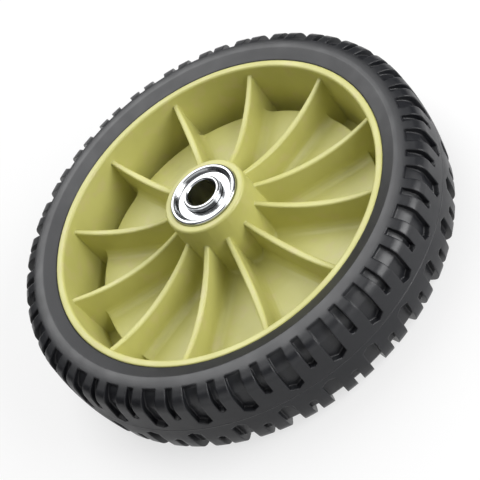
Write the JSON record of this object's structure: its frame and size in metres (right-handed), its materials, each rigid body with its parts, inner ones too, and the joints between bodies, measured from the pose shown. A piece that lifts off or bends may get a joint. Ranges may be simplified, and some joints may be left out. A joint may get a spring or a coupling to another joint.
{
  "type": "lawn mower wheel",
  "caption": "Small mower wheel: ribbed plastic hub and rim with a blocky rubber tyre, turning on shielded ball bearings with a through bore for an axle bolt.",
  "frame": {"origin": "on the axle's line, on the surface that the wheel lies on with its rear side down", "axes": "+Z along the axle's line towards the front side of the wheel; +X along one of the ribs"},
  "size_m": [0.178, 0.178, 0.0459],
  "materials": {
    "tyre_rubber": "matte moulded rubber",
    "hub_plastic": "satin moulded plastic",
    "bearing_steel": "bright plated steel",
    "cage_steel": "pressed steel",
    "ball_steel": "polished steel"
  },
  "bodies": {
    "wheel": {"tyre": "tyre_rubber", "hub_moulding": "hub_plastic", "front_outer_race": "bearing_steel", "front_dust_shield": "bearing_steel", "front_inner_shield": "bearing_steel", "rear_outer_race": "bearing_steel", "rear_dust_shield": "bearing_steel", "rear_inner_shield": "bearing_steel"},
    "front_inner": {"front_inner_race": "bearing_steel"},
    "front_ball_set": {"front_cage": "cage_steel", "front_ball_1": "ball_steel", "front_ball_2": "ball_steel", "front_ball_3": "ball_steel", "front_ball_4": "ball_steel", "front_ball_5": "ball_steel", "front_ball_6": "ball_steel", "front_ball_7": "ball_steel"},
    "rear_inner": {"rear_inner_race": "bearing_steel"},
    "rear_ball_set": {"rear_cage": "cage_steel", "rear_ball_1": "ball_steel", "rear_ball_2": "ball_steel", "rear_ball_3": "ball_steel", "rear_ball_4": "ball_steel", "rear_ball_5": "ball_steel", "rear_ball_6": "ball_steel", "rear_ball_7": "ball_steel"}
  },
  "joints": [
    {"name": "front_inner_spin", "type": "hinge", "parent": "wheel", "child": "front_inner", "pos_m": [0, 0, 0.04004], "axis": [0, 0, 1], "continuous": true},
    {"name": "front_ball_set_spin", "type": "hinge", "parent": "wheel", "child": "front_ball_set", "pos_m": [0, 0, 0.04004], "axis": [0, 0, 1], "continuous": true},
    {"name": "rear_inner_spin", "type": "hinge", "parent": "wheel", "child": "rear_inner", "pos_m": [0, 0, 0.00626], "axis": [0, 0, 1], "continuous": true},
    {"name": "rear_ball_set_spin", "type": "hinge", "parent": "wheel", "child": "rear_ball_set", "pos_m": [0, 0, 0.00626], "axis": [0, 0, 1], "continuous": true}
  ],
  "couplings": [
    {"joint": "front_ball_set_spin", "follows": "front_inner_spin", "ratio": 0.39022},
    {"joint": "rear_ball_set_spin", "follows": "rear_inner_spin", "ratio": 0.39022}
  ]
}
